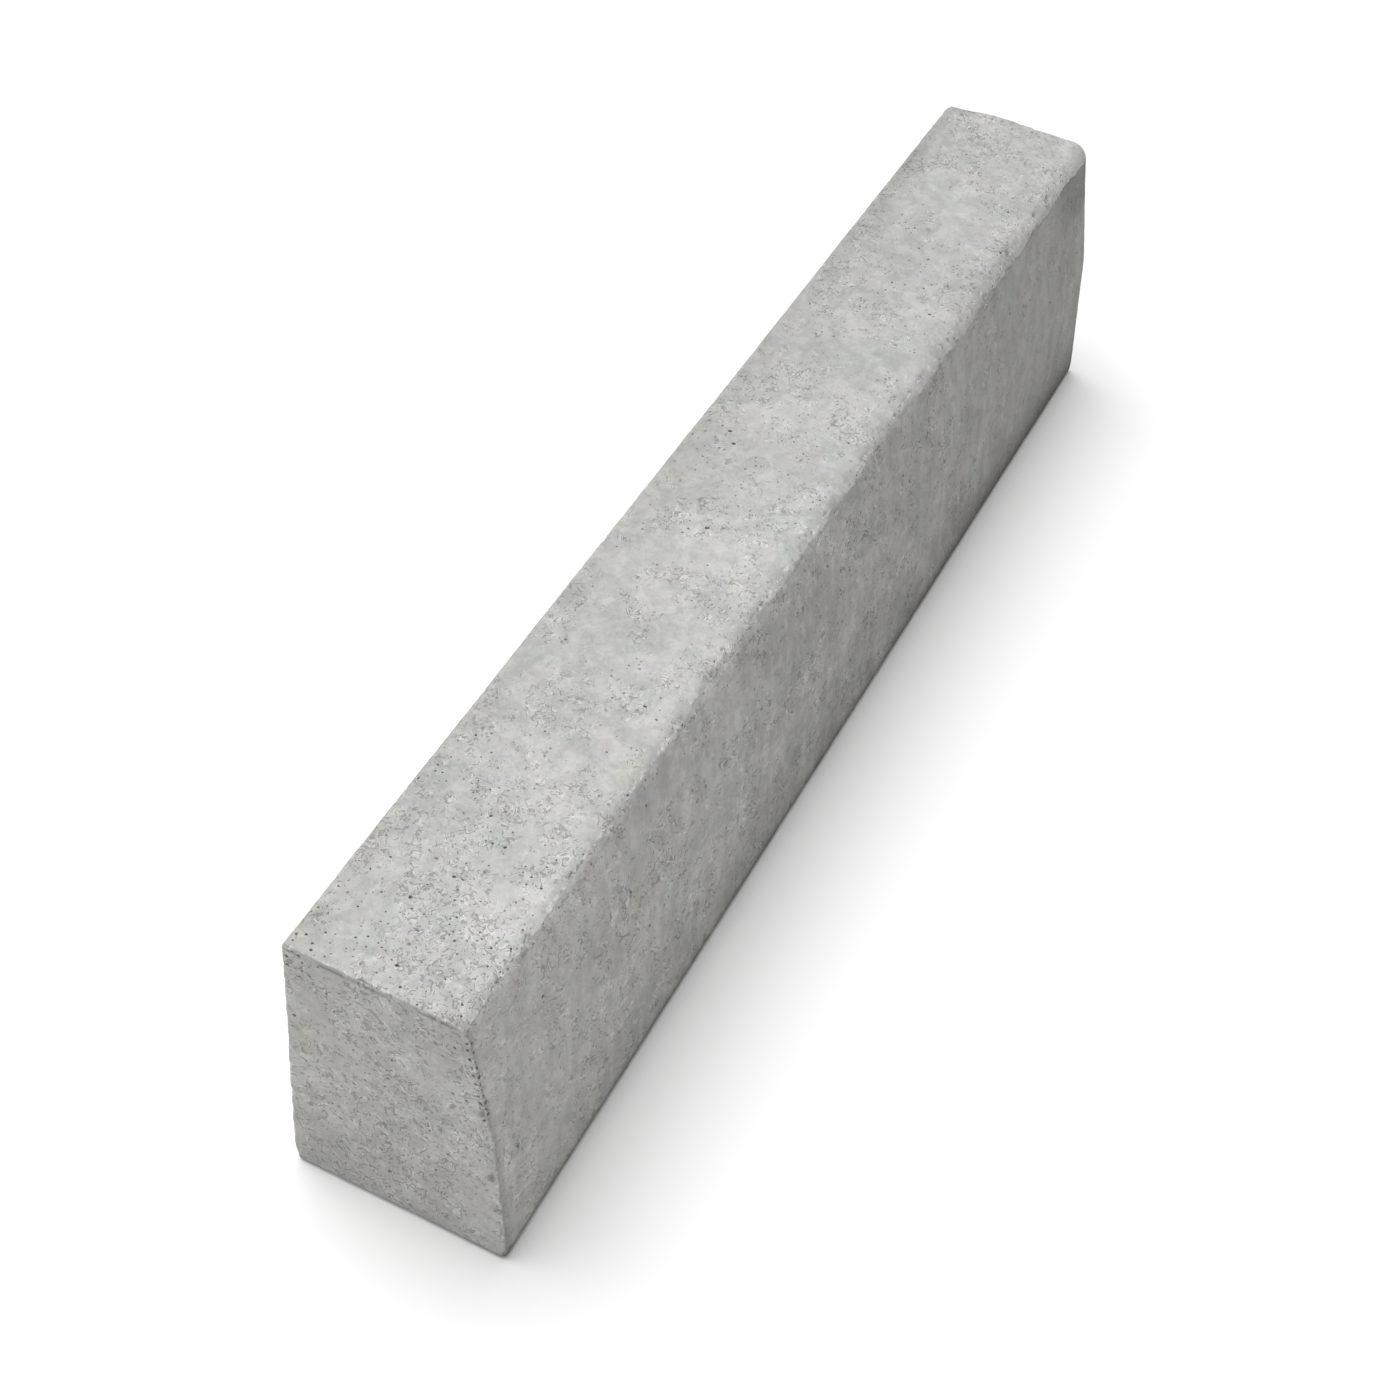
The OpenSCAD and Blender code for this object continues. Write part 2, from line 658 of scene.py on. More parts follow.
@dataclass
class CastKerb:
    """The whole casting: one closed mesh, finely pointed where the surface is broken."""

    section: Section
    weathering: Weathering
    blowholes: Blowholes
    name: str = "cast_kerb"
    finest: float = 1.5
    fine: float = 2.3
    plain: float = 4.6
    bed_step: float = 15.0
    nosing_band: float = 16.0
    arris_band: float = 8.0
    bed_band: float = 3.0
    end_band: float = 4.5
    jitter: float = 0.24
    full_pit: float = 0.8
    seed: int = 20

    def build(self) -> bpy.types.Object:
        """Build the casting.

        Returns:
            The finished piece, in metres.
        """
        rng = np.random.default_rng(self.seed)
        points = []
        facts = []
        faces = []
        ahead = 0
        for panel in Panel:
            sheet = PanelSheet(panel, self.section)
            flat, sunk, triangles = self.lay_out(sheet, rng)
            points.append(sheet.place(flat / np.array(sheet.size)))
            facts.append(sunk)
            if panel in (Panel.BED, Panel.BACK, Panel.NEAR_END):
                triangles = triangles[:, ::-1]
            faces.append(triangles + ahead)
            ahead += len(flat)
            log.info("%s: %d points", panel.value, len(flat))
        whole = (np.concatenate(points), np.concatenate(facts), np.concatenate(faces))
        return self.make_mesh(*self.weld(*whole))

    def edge_steps(self, length: float, step: float) -> np.ndarray:
        """Even steps along an edge, as shares of it that every panel beside it repeats."""
        return np.linspace(0.0, 1.0, int(round(length / step)) + 1)

    def border(self, sheet: PanelSheet) -> np.ndarray:
        """Set out the points around a panel.

        Args:
            sheet: The panel.

        Returns:
            The points anticlockwise, one a row, each set the same on the panel beside it.
        """
        section = self.section
        upright = sheet.panel not in (Panel.TOP, Panel.BED)
        if sheet.panel.is_end:
            run = self.edge_steps(section.width, self.finest)
        else:
            run = self.edge_steps(section.length, self.fine)
        rise = self.edge_steps(section.height if upright else section.width, self.finest)
        sides = [
            np.stack([run[:-1], 0.0 * run[:-1]], axis=1),
            np.stack([0.0 * rise[:-1] + 1.0, rise[:-1]], axis=1),
            np.stack([run[:0:-1], 0.0 * run[:0:-1] + 1.0], axis=1),
            np.stack([0.0 * rise[:0:-1], rise[:0:-1]], axis=1),
        ]
        return np.concatenate(sides) * np.array(sheet.size)

    def grid(self, size: tuple[float, float], step: float, rng: np.random.Generator) -> np.ndarray:
        """Scatter points evenly, each a little off its place on a grid.

        Args:
            size: Length and breadth of the rectangle.
            step: Distance between neighbours.
            rng: Source of the draws.

        Returns:
            The points, one a row.
        """
        counts = [max(int(round(side / step)), 2) for side in size]
        shares = [(np.arange(count) + 0.5) / count for count in counts]
        across, along = np.meshgrid(shares[1], shares[0])
        even = np.stack([along.ravel(), across.ravel()], axis=1) * np.array(size)
        return even + rng.uniform(-self.jitter, self.jitter, even.shape) * step

    def side_gaps(self, points: np.ndarray, size: tuple[float, float]) -> np.ndarray:
        """Find how far points lie from the sides of a rectangle.

        Args:
            points: The points, one a row.
            size: Length and breadth of the rectangle.

        Returns:
            One row a point: the gaps to the start, the end, the lower and the upper side.
        """
        return np.concatenate([points, np.array(size) - points], axis=1)[:, [0, 2, 1, 3]]

    def inner_points(self, sheet: PanelSheet, rng: np.random.Generator) -> np.ndarray:
        """Set out the points inside a panel, closest by the ends and close along the arrises.

        Args:
            sheet: The panel.
            rng: Source of the draws.

        Returns:
            The points, one a row.
        """
        size = sheet.size
        bed = sheet.panel is Panel.BED
        band = np.full(4, self.bed_band if bed else self.arris_band)
        if sheet.panel is Panel.TOP:
            band[2] = self.nosing_band
        if sheet.panel is Panel.ROAD:
            band[3] = self.nosing_band
        at_end = np.array([True, True, sheet.panel.is_end, sheet.panel.is_end])
        spots = []
        for step in (self.finest, self.fine):
            points = self.grid(size, step, rng)
            gaps = self.side_gaps(points, size)
            by_end = (gaps[:, at_end] < self.end_band).any(axis=1)
            if step == self.fine:
                by_end = (gaps < band).any(axis=1) & ~by_end
            spots.append(points[by_end & (gaps > 0.45 * step).all(axis=1)])
        points = self.grid(size, self.bed_step if bed else self.plain, rng)
        gaps = self.side_gaps(points, size)
        spots.append(points[(gaps > band + 0.5 * self.plain).all(axis=1)])
        return np.concatenate(spots)

    def lay_out(self, sheet: PanelSheet, rng: np.random.Generator) -> tuple[np.ndarray, ...]:
        """Set out a panel's points and join them into triangles.

        Args:
            sheet: The panel.
            rng: Source of the draws.

        Returns:
            The points on the flat rectangle, the facts of each, and the triangles.
        """
        border = self.border(sheet)
        inner = self.inner_points(sheet, rng)
        holes = self.blowholes.scatter(sheet, rng)
        clear = np.ones(len(inner), bool)
        for along, across, radius in holes:
            away = np.hypot(inner[:, 0] - along, inner[:, 1] - across)
            clear &= away > self.blowholes.clear_of_points * radius
        spots = [border, inner[clear]]
        facts = [np.zeros((len(part), 2)) for part in spots]
        for hole in holes:
            ring, sunk = self.blowholes.rings(hole, rng)
            spots.append(ring)
            facts.append(sunk)
        flat = np.concatenate(spots)
        sunk = np.concatenate(facts)
        loop = list(range(len(border)))
        laid = geometry.delaunay_2d_cdt([Vector(spot) for spot in flat], [], [loop], 1, 1e-6)
        source = np.array([origin[0] for origin in laid[3]])
        return flat[source], sunk[source], np.array([list(face) for face in laid[2]])

    def weld(self, points: np.ndarray, facts: np.ndarray, faces: np.ndarray) -> tuple[np.ndarray, ...]:
        """Join the panels where their borders meet.

        Args:
            points: The points of every panel, on the sharp-cornered kerb.
            facts: The facts of each point.
            faces: The triangles of every panel.

        Returns:
            The points, facts and triangles of one closed surface.
        """
        # To the nearest micron, with the cuts between keys kept off the round sizes
        keys = np.floor(points * METRE + 0.637).astype(np.int64)
        _, first, same = np.unique(keys, axis=0, return_index=True, return_inverse=True)
        return points[first], facts[first], same.reshape(-1)[faces]

    def make_mesh(self, sharp: np.ndarray, facts: np.ndarray, faces: np.ndarray) -> bpy.types.Object:
        """Round, weather and pit the surface, and make its object.

        Args:
            sharp: The points on the sharp-cornered kerb.
            facts: Depth of pit and share of the pale pit edge, paler paste and painted highlight, for
                each point.
            faces: The triangles.

        Returns:
            The object, with what its finish reads kept on its points.
        """
        settled = self.section.settle(sharp)
        inward = -self.section.facing(settled)
        worn = self.weathering.depth(sharp, settled, self.section)
        on_bed = 1.0 - ease(0.0, self.bed_band, settled[:, 2])
        depth = worn["depth"] * (1.0 - on_bed) + facts[:, 0]
        points = settled + inward * depth[:, None]
        half = np.array([self.section.length / 2, self.section.width / 2])
        points[:, :2] = np.clip(points[:, :2], -half, half)
        points[:, 2] = np.clip(points[:, 2], 0.0, self.section.height)
        self.touch_box(points)
        mesh = bpy.data.meshes.new(self.name)
        mesh.from_pydata((points / METRE).tolist(), [], faces.tolist())
        mesh.shade_smooth()
        pit = np.clip(facts[:, 0] / self.full_pit, 0.0, 1.0)
        marks = {"pit": pit, "rim_paste_and_highlight": facts[:, 1]}
        marks.update((label, worn[label]) for label in ("wear", "chip", "hollow"))
        for label, values in marks.items():
            layer = mesh.attributes.new(label, "FLOAT", "POINT")
            layer.data.foreach_set("value", values.astype(np.float32))
        log.info("%s: %d points, %d triangles", self.name, len(points), len(faces))
        return put_in_scene(self.name, mesh)

    def touch_box(self, points: np.ndarray) -> None:
        """Spread the weathered points until the casting's extremes are the kerb's true sizes.

        Args:
            points: The points, which are changed in place.
        """
        low = np.array([-self.section.length / 2, -self.section.width / 2, 0.0])
        high = np.array([self.section.length / 2, self.section.width / 2, self.section.height])
        least = points.min(axis=0)
        most = points.max(axis=0)
        points -= least
        points *= (high - low) / (most - least)
        points += low


@dataclass(frozen=True)
class Blots:
    """Soft noise of one grain, and the range of it that is eased into a mark or a tone.

    The noise lies about 0.5 and seldom leaves 0.3 to 0.7, so a narrow range picks out its blots.

    Attributes:
        grain: Width of its largest blots, in millimetres.
        low: Where in the noise the rise begins.
        high: Where it ends.
        start: The result at the low end.
        end: The result at the high end.
        detail: How many times the detail is halved.
        rough: Strength of the finer detail.
        warp: How far the blots are pulled out of shape.
    """

    grain: float
    low: float = 0.0
    high: float = 1.0
    start: float = 0.0
    end: float = 1.0
    detail: float = 3.0
    rough: float = 0.5
    warp: float = 0.0


class NodeSheet:
    """A material's node tree, with a short method for each kind of node that a finish uses."""

    def __init__(self, name: str) -> None:
        """Start an empty material.

        Args:
            name: The material's name.
        """
        self.material = bpy.data.materials.new(name)
        self.material.use_nodes = True
        self.tree = self.material.node_tree
        self.tree.nodes.clear()

    def join(self, socket: Socket, value: object) -> None:
        """Link an input to another node's output, or give it a value of its own.

        Args:
            socket: The input.
            value: The output, or the value.
        """
        if isinstance(value, Socket):
            self.tree.links.new(value, socket)
        else:
            socket.default_value = value

    def add(self, kind: str, inputs: dict[str | int, object], **settings: object) -> bpy.types.Node:
        """Add a node.

        Args:
            kind: The node's type.
            inputs: What each input is joined to, or its value.
            settings: The node's own settings.

        Returns:
            The node.
        """
        node = self.tree.nodes.new(kind)
        for label, value in settings.items():
            setattr(node, label, value)
        for label, value in inputs.items():
            self.join(node.inputs[label], value)
        return node

    def mix(
        self, share: object, first: object, other: object, kind: str = "RGBA", blend: str = "MIX"
    ) -> Socket:
        """Lay one colour or place over another.

        Args:
            share: How strongly the second one covers the first.
            first: The one underneath.
            other: The one on top.
            kind: RGBA for colours, VECTOR for places.
            blend: How two colours are combined.

        Returns:
            What results.
        """
        node = self.add("ShaderNodeMix", {}, data_type=kind, blend_type=blend, clamp_factor=True)
        word = {"RGBA": "Color", "VECTOR": "Vector"}[kind]
        inputs = {socket.identifier: socket for socket in node.inputs}
        self.join(inputs["Factor_Float"], share)
        self.join(inputs[f"A_{word}"], first)
        self.join(inputs[f"B_{word}"], other)
        return next(socket for socket in node.outputs if socket.identifier == f"Result_{word}")

    def kept(self, label: str) -> Socket:
        """A value kept on the mesh's points."""
        return self.add("ShaderNodeAttribute", {}, attribute_name=label).outputs["Fac"]

    def drawn_out(self, place: Socket, times: tuple[float, float, float], turn: float = 0.0) -> Socket:
        """Draw a pattern out along its axes.

        Args:
            place: Where the pattern is read.
            times: How many times longer it becomes along each axis.
            turn: How far those axes are first turned about Y, in degrees.

        Returns:
            The place to read instead.
        """
        inputs = {"Vector": place, "Scale": times, "Rotation": (0.0, math.radians(turn), 0.0)}
        return self.add("ShaderNodeMapping", inputs, vector_type="TEXTURE").outputs["Vector"]

    def blots(self, place: Socket, recipe: Blots) -> Socket:
        """Soft noise.

        Args:
            place: Where it is read.
            recipe: What it is like.

        Returns:
            A value spread about 0.5.
        """
        inputs = {
            "Vector": place,
            "Scale": METRE / recipe.grain,
            "Detail": recipe.detail,
            "Roughness": recipe.rough,
            "Distortion": recipe.warp,
        }
        return self.add("ShaderNodeTexNoise", inputs).outputs["Fac"]

    def picked(self, place: Socket, recipe: Blots) -> Socket:
        """The marks or the tone that a recipe's range picks out of its noise."""
        value = self.blots(place, recipe)
        return self.spread(value, recipe.low, recipe.high, recipe.start, recipe.end)

    def step(self, operation: str, first: object, second: object = 0.0) -> Socket:
        """One step of arithmetic."""
        return self.add("ShaderNodeMath", {0: first, 1: second}, operation=operation).outputs[0]

    def plus(self, first: object, second: object) -> Socket:
        """The sum of two values."""
        return self.step("ADD", first, second)

    def minus(self, first: object, second: object) -> Socket:
        """One value less another."""
        return self.step("SUBTRACT", first, second)

    def times(self, first: object, *others: object) -> Socket:
        """Multiply several values.

        Args:
            first: The first of them.
            others: All the others.

        Returns:
            Their product.
        """
        for other in others:
            first = self.step("MULTIPLY", first, other)
        return first

    def off(self, value: object, middle: float) -> Socket:
        """How far a value lies from a middle, on either side."""
        return self.step("ABSOLUTE", self.minus(value, middle))

    def spread(
        self, value: object, low: float, high: float, start: float = 0.0, end: float = 1.0
    ) -> Socket:
        """Ease a value from one range into another.

        Args:
            value: The value.
            low: Where the rise begins.
            high: Where it ends.
            start: The result at the low end.
            end: The result at the high end.

        Returns:
            The eased value.
        """
        inputs = {"Value": value, "From Min": low, "From Max": high, "To Min": start, "To Max": end}
        node = self.add("ShaderNodeMapRange", inputs, interpolation_type="SMOOTHSTEP")
        return node.outputs["Result"]

    def tone(self, share: object, full: float) -> Socket:
        """A factor that goes from 1 to its full tone as a share goes from 0 to 1."""
        return self.spread(share, 0.0, 1.0, 1.0, full)

    def only(self, where: object, factor: object) -> Socket:
        """Keep a factor to the region where a mask is 1, and make it 1 elsewhere."""
        return self.plus(1.0, self.times(where, self.minus(factor, 1.0)))


@dataclass(frozen=True)
class Ground:
    """A finish's node tree, and what its nodes know of a point of the kerb.

    Attributes:
        sheet: The node tree.
        place: The point.
        x: How far along the kerb it lies, in millimetres.
        y: How far towards the footway.
        z: How far above the bed.
        lap: How far above the lower edge of the top's skin, in millimetres.
        skin: 1 on that skin and 0 off it.
        road: 1 on the road face and 0 off it.
        marks: Where the noise of patches and marks is read.
        bold: How boldly they show.
    """

    sheet: NodeSheet
    place: Socket
    x: Socket
    y: Socket
    z: Socket
    lap: Socket
    skin: Socket
    road: Socket
    marks: Socket
    bold: Socket


@dataclass(frozen=True)
class ConcreteFinish:
    """Dry as-cast concrete: grey patches, curled marks, pinholes, crazing and a pale top skin, with
    light and shade painted into its colour.

    A tone is a factor of the paste's shade, and a gain or a loss is what is added to such a factor
    or taken from it. Sizes are in millimetres. A pair of tones or heights holds at the near end
    and at the far one, but on the top at its front and at its back. A stretch, a reach, a swing,
    a boldness or a crowding is eased along the kerb, between shares of its length from the middle,
    and a strip is eased across it. Insets and drops tell where a rise begins and ends, inward
    from the ends and down from the top.
    """

    length: float
    height: float
    trowelled: Colour = (0.467, 0.466, 0.458, 1.0)
    moulded: Colour = (0.468, 0.464, 0.451, 1.0)
    roughness: float = 0.88
    specular: float = 0.25
    dark_mark_shade_tone: float = 0.68
    pale_mark_highlight_tone: float = 1.22
    pinhole_shade_tone: float = 0.52
    pit_shade_and_dust_tone: float = 0.36
    crack_tone: float = 0.84
    scuff_tone: float = 1.30
    rim_paste_and_highlight_tones: Ease = (0.2, 1.0, 1.0, 1.22)
    chip_tones: Ease = (0.1, 0.8, 1.0, 0.80)
    hollow_shade_tones: Ease = (0.1, 0.9, 1.02, 0.97)
    skin_reach: Ease = (-0.45, 0.35, 3.5, 9.5)
    skin_swing: Ease = (-0.5, -0.1, 0.35, 1.0)
    skin_strip: Ease = (-50.0, -34.0, 1.0, 0.0)
    least_skin_reach: float = 1.5
    skin_wander: float = 12.0
    skin_raggedness: float = 6.5
    skin_edge: Ease = (-0.5, 0.5, 0.0, 1.0)
    below_skin: Ease = (0.4, 0.6, 1.0, 0.0)
    road_strip: Ease = (-44.0, -42.0, 1.0, 0.0)
    road_end_insets: Pair = (3.5, 1.5)
    road_draw: tuple[float, float, float] = (1.7, 1.0, 1.0)
    road_turn: float = 45.0
    streak_draw: tuple[float, float, float] = (1.0, 1.0, 4.5)
    mark_scale: float = 0.74
    skin_scale_gain: float = 0.16
    road_scale_gain: float = 0.10
    near_boldness: Ease = (-0.50, -0.15, 0.72, 1.14)
    far_boldness: Ease = (0.05, 0.45, 1.0, 0.48)
    # Painted light: the whole kerb lighter at its near end and darker at its far end
    near_to_far_light_tones: Pair = (1.05, 0.955)
    top_tones: Pair = (1.065, 0.935)
    back_strip: Ease = (34.0, 72.0, 0.0, 1.0)
    back_strip_clouds: Ease = (0.3, 0.6, 0.4, 1.0)
    far_back_tone: float = 0.91
    far_back_strip: Ease = (50.0, 73.0, 0.0, 1.0)
    far_back_stretch: Ease = (0.0, 0.4, 0.0, 1.0)
    # Painted shade: the moulded faces darker towards the bed, and darkest in the lowest few millimetres
    # where the kerb meets the floor
    foot_shade_tones: Ease = (0.0, 110.0, 0.89, 1.0)
    foot_shade_wander: float = 40.0
    bed_contact_shade_tones: Ease = (0.0, 6.0, 0.70, 1.0)
    # A darker patch high on the road face by the far end
    corner_patch_tone: float = 0.70
    corner_patch_stretch: Ease = (0.40, 0.47, 0.0, 1.0)
    corner_patch_drops: Pair = (75.0, 30.0)
    # Painted light and shade on the road face: lighter at the near end, darker towards the far end and
    # the foot
    road_light_tones: Pair = (1.03, 0.865)
    road_foot_shade_tone: float = 0.46
    road_foot_shade_heights: Pair = (15.0, 24.0)
    middle_stretch: Ease = (0.10, 0.42, 1.0, 0.0)
    middle_foot_shade_loss: Ease = (15.0, 95.0, 0.09, 0.0)
    far_stretch: Ease = (0.05, 0.40, 0.0, 1.0)
    far_foot_shade_loss: Ease = (12.0, 45.0, 0.24, 0.0)
    # Painted highlight at the skin's lapped edge, and a painted shadow line just below it
    brim_height: float = 0.7
    brim_highlight_gain: Ease = (0.0, 0.9, 0.10, 0.0)
    brim_shadow_height: float = -0.9
    brim_shadow_loss: Ease = (0.0, 1.1, 0.16, 0.0)
    brim_strip: Ease = (-38.0, -34.0, 1.0, 0.0)
    brim_stretch: Ease = (-0.45, -0.20, 0.3, 1.0)
    # Painted shadow line under the near end's top arris
    lip_drop: float = 3.8
    lip_edge: Ease = (0.0, 2.2, 1.0, 0.0)
    lip_shadow_loss: Ease = (0.4, 2.0, 0.40, 0.0)
    band_width: Ease = (30.0, 150.0, 14.0, 7.0)
    band_loss: Ease = (0.1, 1.0, 0.26, 0.0)
    band_edge: Ease = (0.5, 2.0, 0.0, 1.0)
    band_strip: Ease = (-35.0, -20.0, 1.0, 0.0)
    pinhole_spacing: float = 3.6
    pinhole_size: Ease = (0.72, 1.30, 0.0, 0.27)
    pinhole_edge: Ease = (0.0, 0.05, 0.0, 1.0)
    near_crowding: Ease = (-0.47, -0.20, 0.10, 0.0)
    far_crowding: Ease = (0.36, 0.48, 0.0, 0.08)
    mark_share: Ease = (0.46, 0.58, 0.08, 1.0)
    dark_line: Ease = (0.015, 0.052, 1.0, 0.0)
    pale_line: Ease = (0.018, 0.058, 1.0, 0.0)
    pale_line_offset: float = 0.085
    scuff_wear: Ease = (0.35, 0.9, 0.0, 1.0)
    crack_line: Ease = (0.0, 0.020, 1.0, 0.0)
    grit_height: float = 0.12
    lump_height: float = 0.55
    skin_height: float = 0.35
    pinhole_depth: float = 0.45
    mark_depth: float = 0.22
    clouds: Blots = Blots(105.0, 0.3, 0.7, 0.94, 1.05, warp=0.4)
    wide_blots: Blots = Blots(28.0, 0.42, 0.58, 0.953, 1.042, warp=1.0)
    middling_blots: Blots = Blots(14.0, 0.46, 0.54, 0.957, 1.038, detail=2.0, warp=1.2)
    small_blots: Blots = Blots(6.5, 0.43, 0.57, 0.965, 1.032, detail=2.0, rough=0.6, warp=1.0)
    sand: Blots = Blots(2.4, 0.25, 0.75, 0.965, 1.032, detail=2.0, rough=0.6)
    runs: Blots = Blots(11.0, 0.42, 0.58, 0.945, 1.05, rough=0.55, warp=0.4)
    back_tone_and_foot_shade_clouds: Blots = Blots(40.0, rough=0.6)
    skin_swings: Blots = Blots(60.0, detail=2.0)
    skin_rags: Blots = Blots(9.0, detail=4.0, rough=0.65, warp=0.8)
    brim_breaks: Blots = Blots(20.0, 0.44, 0.56, rough=0.6)
    lip_breaks: Blots = Blots(24.0, 0.42, 0.52, rough=0.6)
    pinhole_crowds: Blots = Blots(24.0, 0.45, 0.66, 0.0, 0.34, rough=0.6)
    mark_crowds: Blots = Blots(34.0, detail=4.0, rough=0.62, warp=0.5)
    mark_lines: Blots = Blots(8.5, detail=2.0, warp=1.6)
    mark_breaks: Blots = Blots(5.0, 0.50, 0.57, detail=1.0, warp=1.0)
    dark_specks: Blots = Blots(4.2, 0.62, 0.67, detail=2.0, rough=0.6, warp=1.8)
    pale_specks: Blots = Blots(4.8, 0.60, 0.66, detail=2.0, rough=0.6, warp=2.6)
    scuff_specks: Blots = Blots(4.0, 0.56, 0.62, detail=2.0, rough=0.6, warp=0.6)
    crack_lines: Blots = Blots(15.0, rough=0.6, warp=1.6)
    crack_breaks: Blots = Blots(11.0, 0.50, 0.58, rough=0.6)
    grit: Blots = Blots(2.0, detail=2.0, rough=0.6)
    lumps: Blots = Blots(8.0, warp=0.8)
    stain_clouds: Blots = Blots(38.0, 0.55, 0.72, 0.0, 0.65, detail=2.0, warp=0.7)
    stain_grains: tuple[tuple[float, Colour], ...] = (
        (38.0, (0.950, 1.0, 0.985, 1.0)),
        (31.0, (1.0, 0.965, 0.965, 1.0)),
        (44.0, (0.985, 0.985, 0.930, 1.0)),
        (12.0, (1.0, 0.975, 0.950, 1.0)),
        (10.0, (0.960, 1.0, 0.965, 1.0)),
    )

    def make(self) -> bpy.types.Material:
        """Build the material.

        Returns:
            The material.
        """
        sheet = NodeSheet("as_cast_concrete")
        ground = self.survey(sheet)
        holes = self.pinholes(ground)
        dark, pale = self.curls(ground)
        shade = sheet.times(
            self.patches(ground),
            self.streaks(ground),
            self.crazing(ground),
            self.flank(ground),
            self.painted_lap_highlight_and_shadow(ground),
            self.near_arris_shadow_and_band(ground),
            self.scuffs(ground),
            # Painted shade and painted highlight of the curled marks' fine relief
            sheet.tone(dark, self.dark_mark_shade_tone),
            sheet.tone(pale, self.pale_mark_highlight_tone),
            # Painted shade: the pinholes too fine for the mesh are darkened as well as sunk
            sheet.tone(holes, self.pinhole_shade_tone),
            # Painted shade and dust: darker down in the mesh's pits
            sheet.tone(sheet.kept("pit"), self.pit_shade_and_dust_tone),
            # Painted highlight, with paler paste: the edges round the mesh's pits
            sheet.spread(sheet.kept("rim_paste_and_highlight"), *self.rim_paste_and_highlight_tones),
            sheet.spread(sheet.kept("chip"), *self.chip_tones),
            # Painted shade: a little darker where the surface's fine tooth is sunk deepest
            sheet.spread(sheet.kept("hollow"), *self.hollow_shade_tones),
        )
        grey = sheet.add("ShaderNodeCombineColor", {"Red": shade, "Green": shade, "Blue": shade})
        paste = sheet.mix(ground.skin, self.moulded, self.trowelled)
        shaded = sheet.mix(1.0, paste, grey.outputs["Color"], blend="MULTIPLY")
        relief = self.relief(ground, holes, dark)
        bump = sheet.add("ShaderNodeBump", {"Height": relief, "Strength": 1.0, "Distance": 1.0 / METRE})
        shader = sheet.add("ShaderNodeBsdfPrincipled", {
            "Base Color": self.stains(ground, shaded),
            "Roughness": self.roughness,
            "Specular IOR Level": self.specular,
            "Normal": bump.outputs["Normal"],
        })
        sheet.add("ShaderNodeOutputMaterial", {"Surface": shader.outputs["BSDF"]})
        return sheet.material

    def along(
        self, sheet: NodeSheet, x: Socket, low: float, high: float, start: float = 0.0, end: float = 1.0
    ) -> Socket:
        """Ease a value along the kerb.

        Args:
            sheet: The node tree.
            x: How far along the kerb a point lies.
            low: Where the rise begins, as a share of the length from the middle.
            high: Where it ends, as such a share.
            start: The result at the low end.
            end: The result at the high end.

        Returns:
            The eased value.
        """
        return sheet.spread(x, low * self.length, high * self.length, start, end)

    def skin_lap(self, sheet: NodeSheet, place: Socket, x: Socket, y: Socket, z: Socket) -> Socket:
        """Find how far a point lies above the ragged lower edge of the top's skin.

        Args:
            sheet: The node tree.
            place: The point.
            x: How far along the kerb it lies.
            y: How far towards the footway.
            z: How far above the bed.

        Returns:
            The distance in millimetres, negative below the edge.
        """
        reach = self.along(sheet, x, *self.skin_reach)
        wander = sheet.minus(sheet.blots(place, self.skin_swings), 0.5)
        ragged = sheet.minus(sheet.blots(place, self.skin_rags), 0.5)
        uneven = sheet.times(
            sheet.plus(
                sheet.times(wander, self.skin_wander),
                sheet.times(ragged, self.skin_raggedness),
            ),
            self.along(sheet, x, *self.skin_swing),
        )
        over_nosing = sheet.spread(y, *self.skin_strip)
        lapped = sheet.times(sheet.plus(reach, uneven), over_nosing)
        reach = sheet.plus(lapped, self.least_skin_reach)
        return sheet.minus(reach, sheet.minus(self.height, z))

    def survey(self, sheet: NodeSheet) -> Ground:
        """Work out what the other methods need to know of a point.

        Args:
            sheet: The node tree.

        Returns:
            The node tree with all of it.
        """
        place = sheet.add("ShaderNodeTexCoord", {}).outputs["Object"]
        axes = sheet.add("ShaderNodeSeparateXYZ", {"Vector": place}).outputs
        x, y, z = (sheet.times(axes[axis], METRE) for axis in "XYZ")
        lap = self.skin_lap(sheet, place, x, y, z)
        skin = sheet.spread(lap, *self.skin_edge)
        low, high = (0.5 * self.length - inset for inset in self.road_end_insets)
        road = sheet.times(
            sheet.spread(y, *self.road_strip),
            sheet.spread(sheet.off(x, 0.0), low, high, 1.0, 0.0),
            sheet.spread(skin, *self.below_skin),
        )
        # Switched hard, since noise that is read part way between two places streaks
        on_road = sheet.step("GREATER_THAN", road, 0.5)
        on_skin = sheet.step("GREATER_THAN", skin, 0.5)
        aslant = sheet.drawn_out(place, self.road_draw, self.road_turn)
        gain = sheet.plus(
            sheet.times(on_skin, self.skin_scale_gain),
            sheet.times(on_road, self.road_scale_gain),
        )
        scale = sheet.plus(self.mark_scale, gain)
        marks = sheet.add(
            "ShaderNodeVectorMath",
            {0: sheet.mix(on_road, place, aslant, "VECTOR"), "Scale": scale},
            operation="SCALE",
        )
        bold = sheet.only(road, sheet.times(
            self.along(sheet, x, *self.near_boldness),
            self.along(sheet, x, *self.far_boldness),
        ))
        return Ground(sheet, place, x, y, z, lap, skin, road, marks.outputs["Vector"], bold)

    def patches(self, ground: Ground) -> Socket:
        """Work out the cloudy patches, large and small, that the paste dries in.

        Args:
            ground: The node tree and the point.

        Returns:
            A factor about 1.
        """
        sheet = ground.sheet
        whole = sheet.times(
            sheet.picked(ground.place, self.clouds),
            sheet.picked(ground.marks, self.wide_blots),
            sheet.picked(ground.marks, self.middling_blots),
            sheet.picked(ground.marks, self.small_blots),
            sheet.picked(ground.place, self.sand),
        )
        return sheet.only(ground.bold, whole)

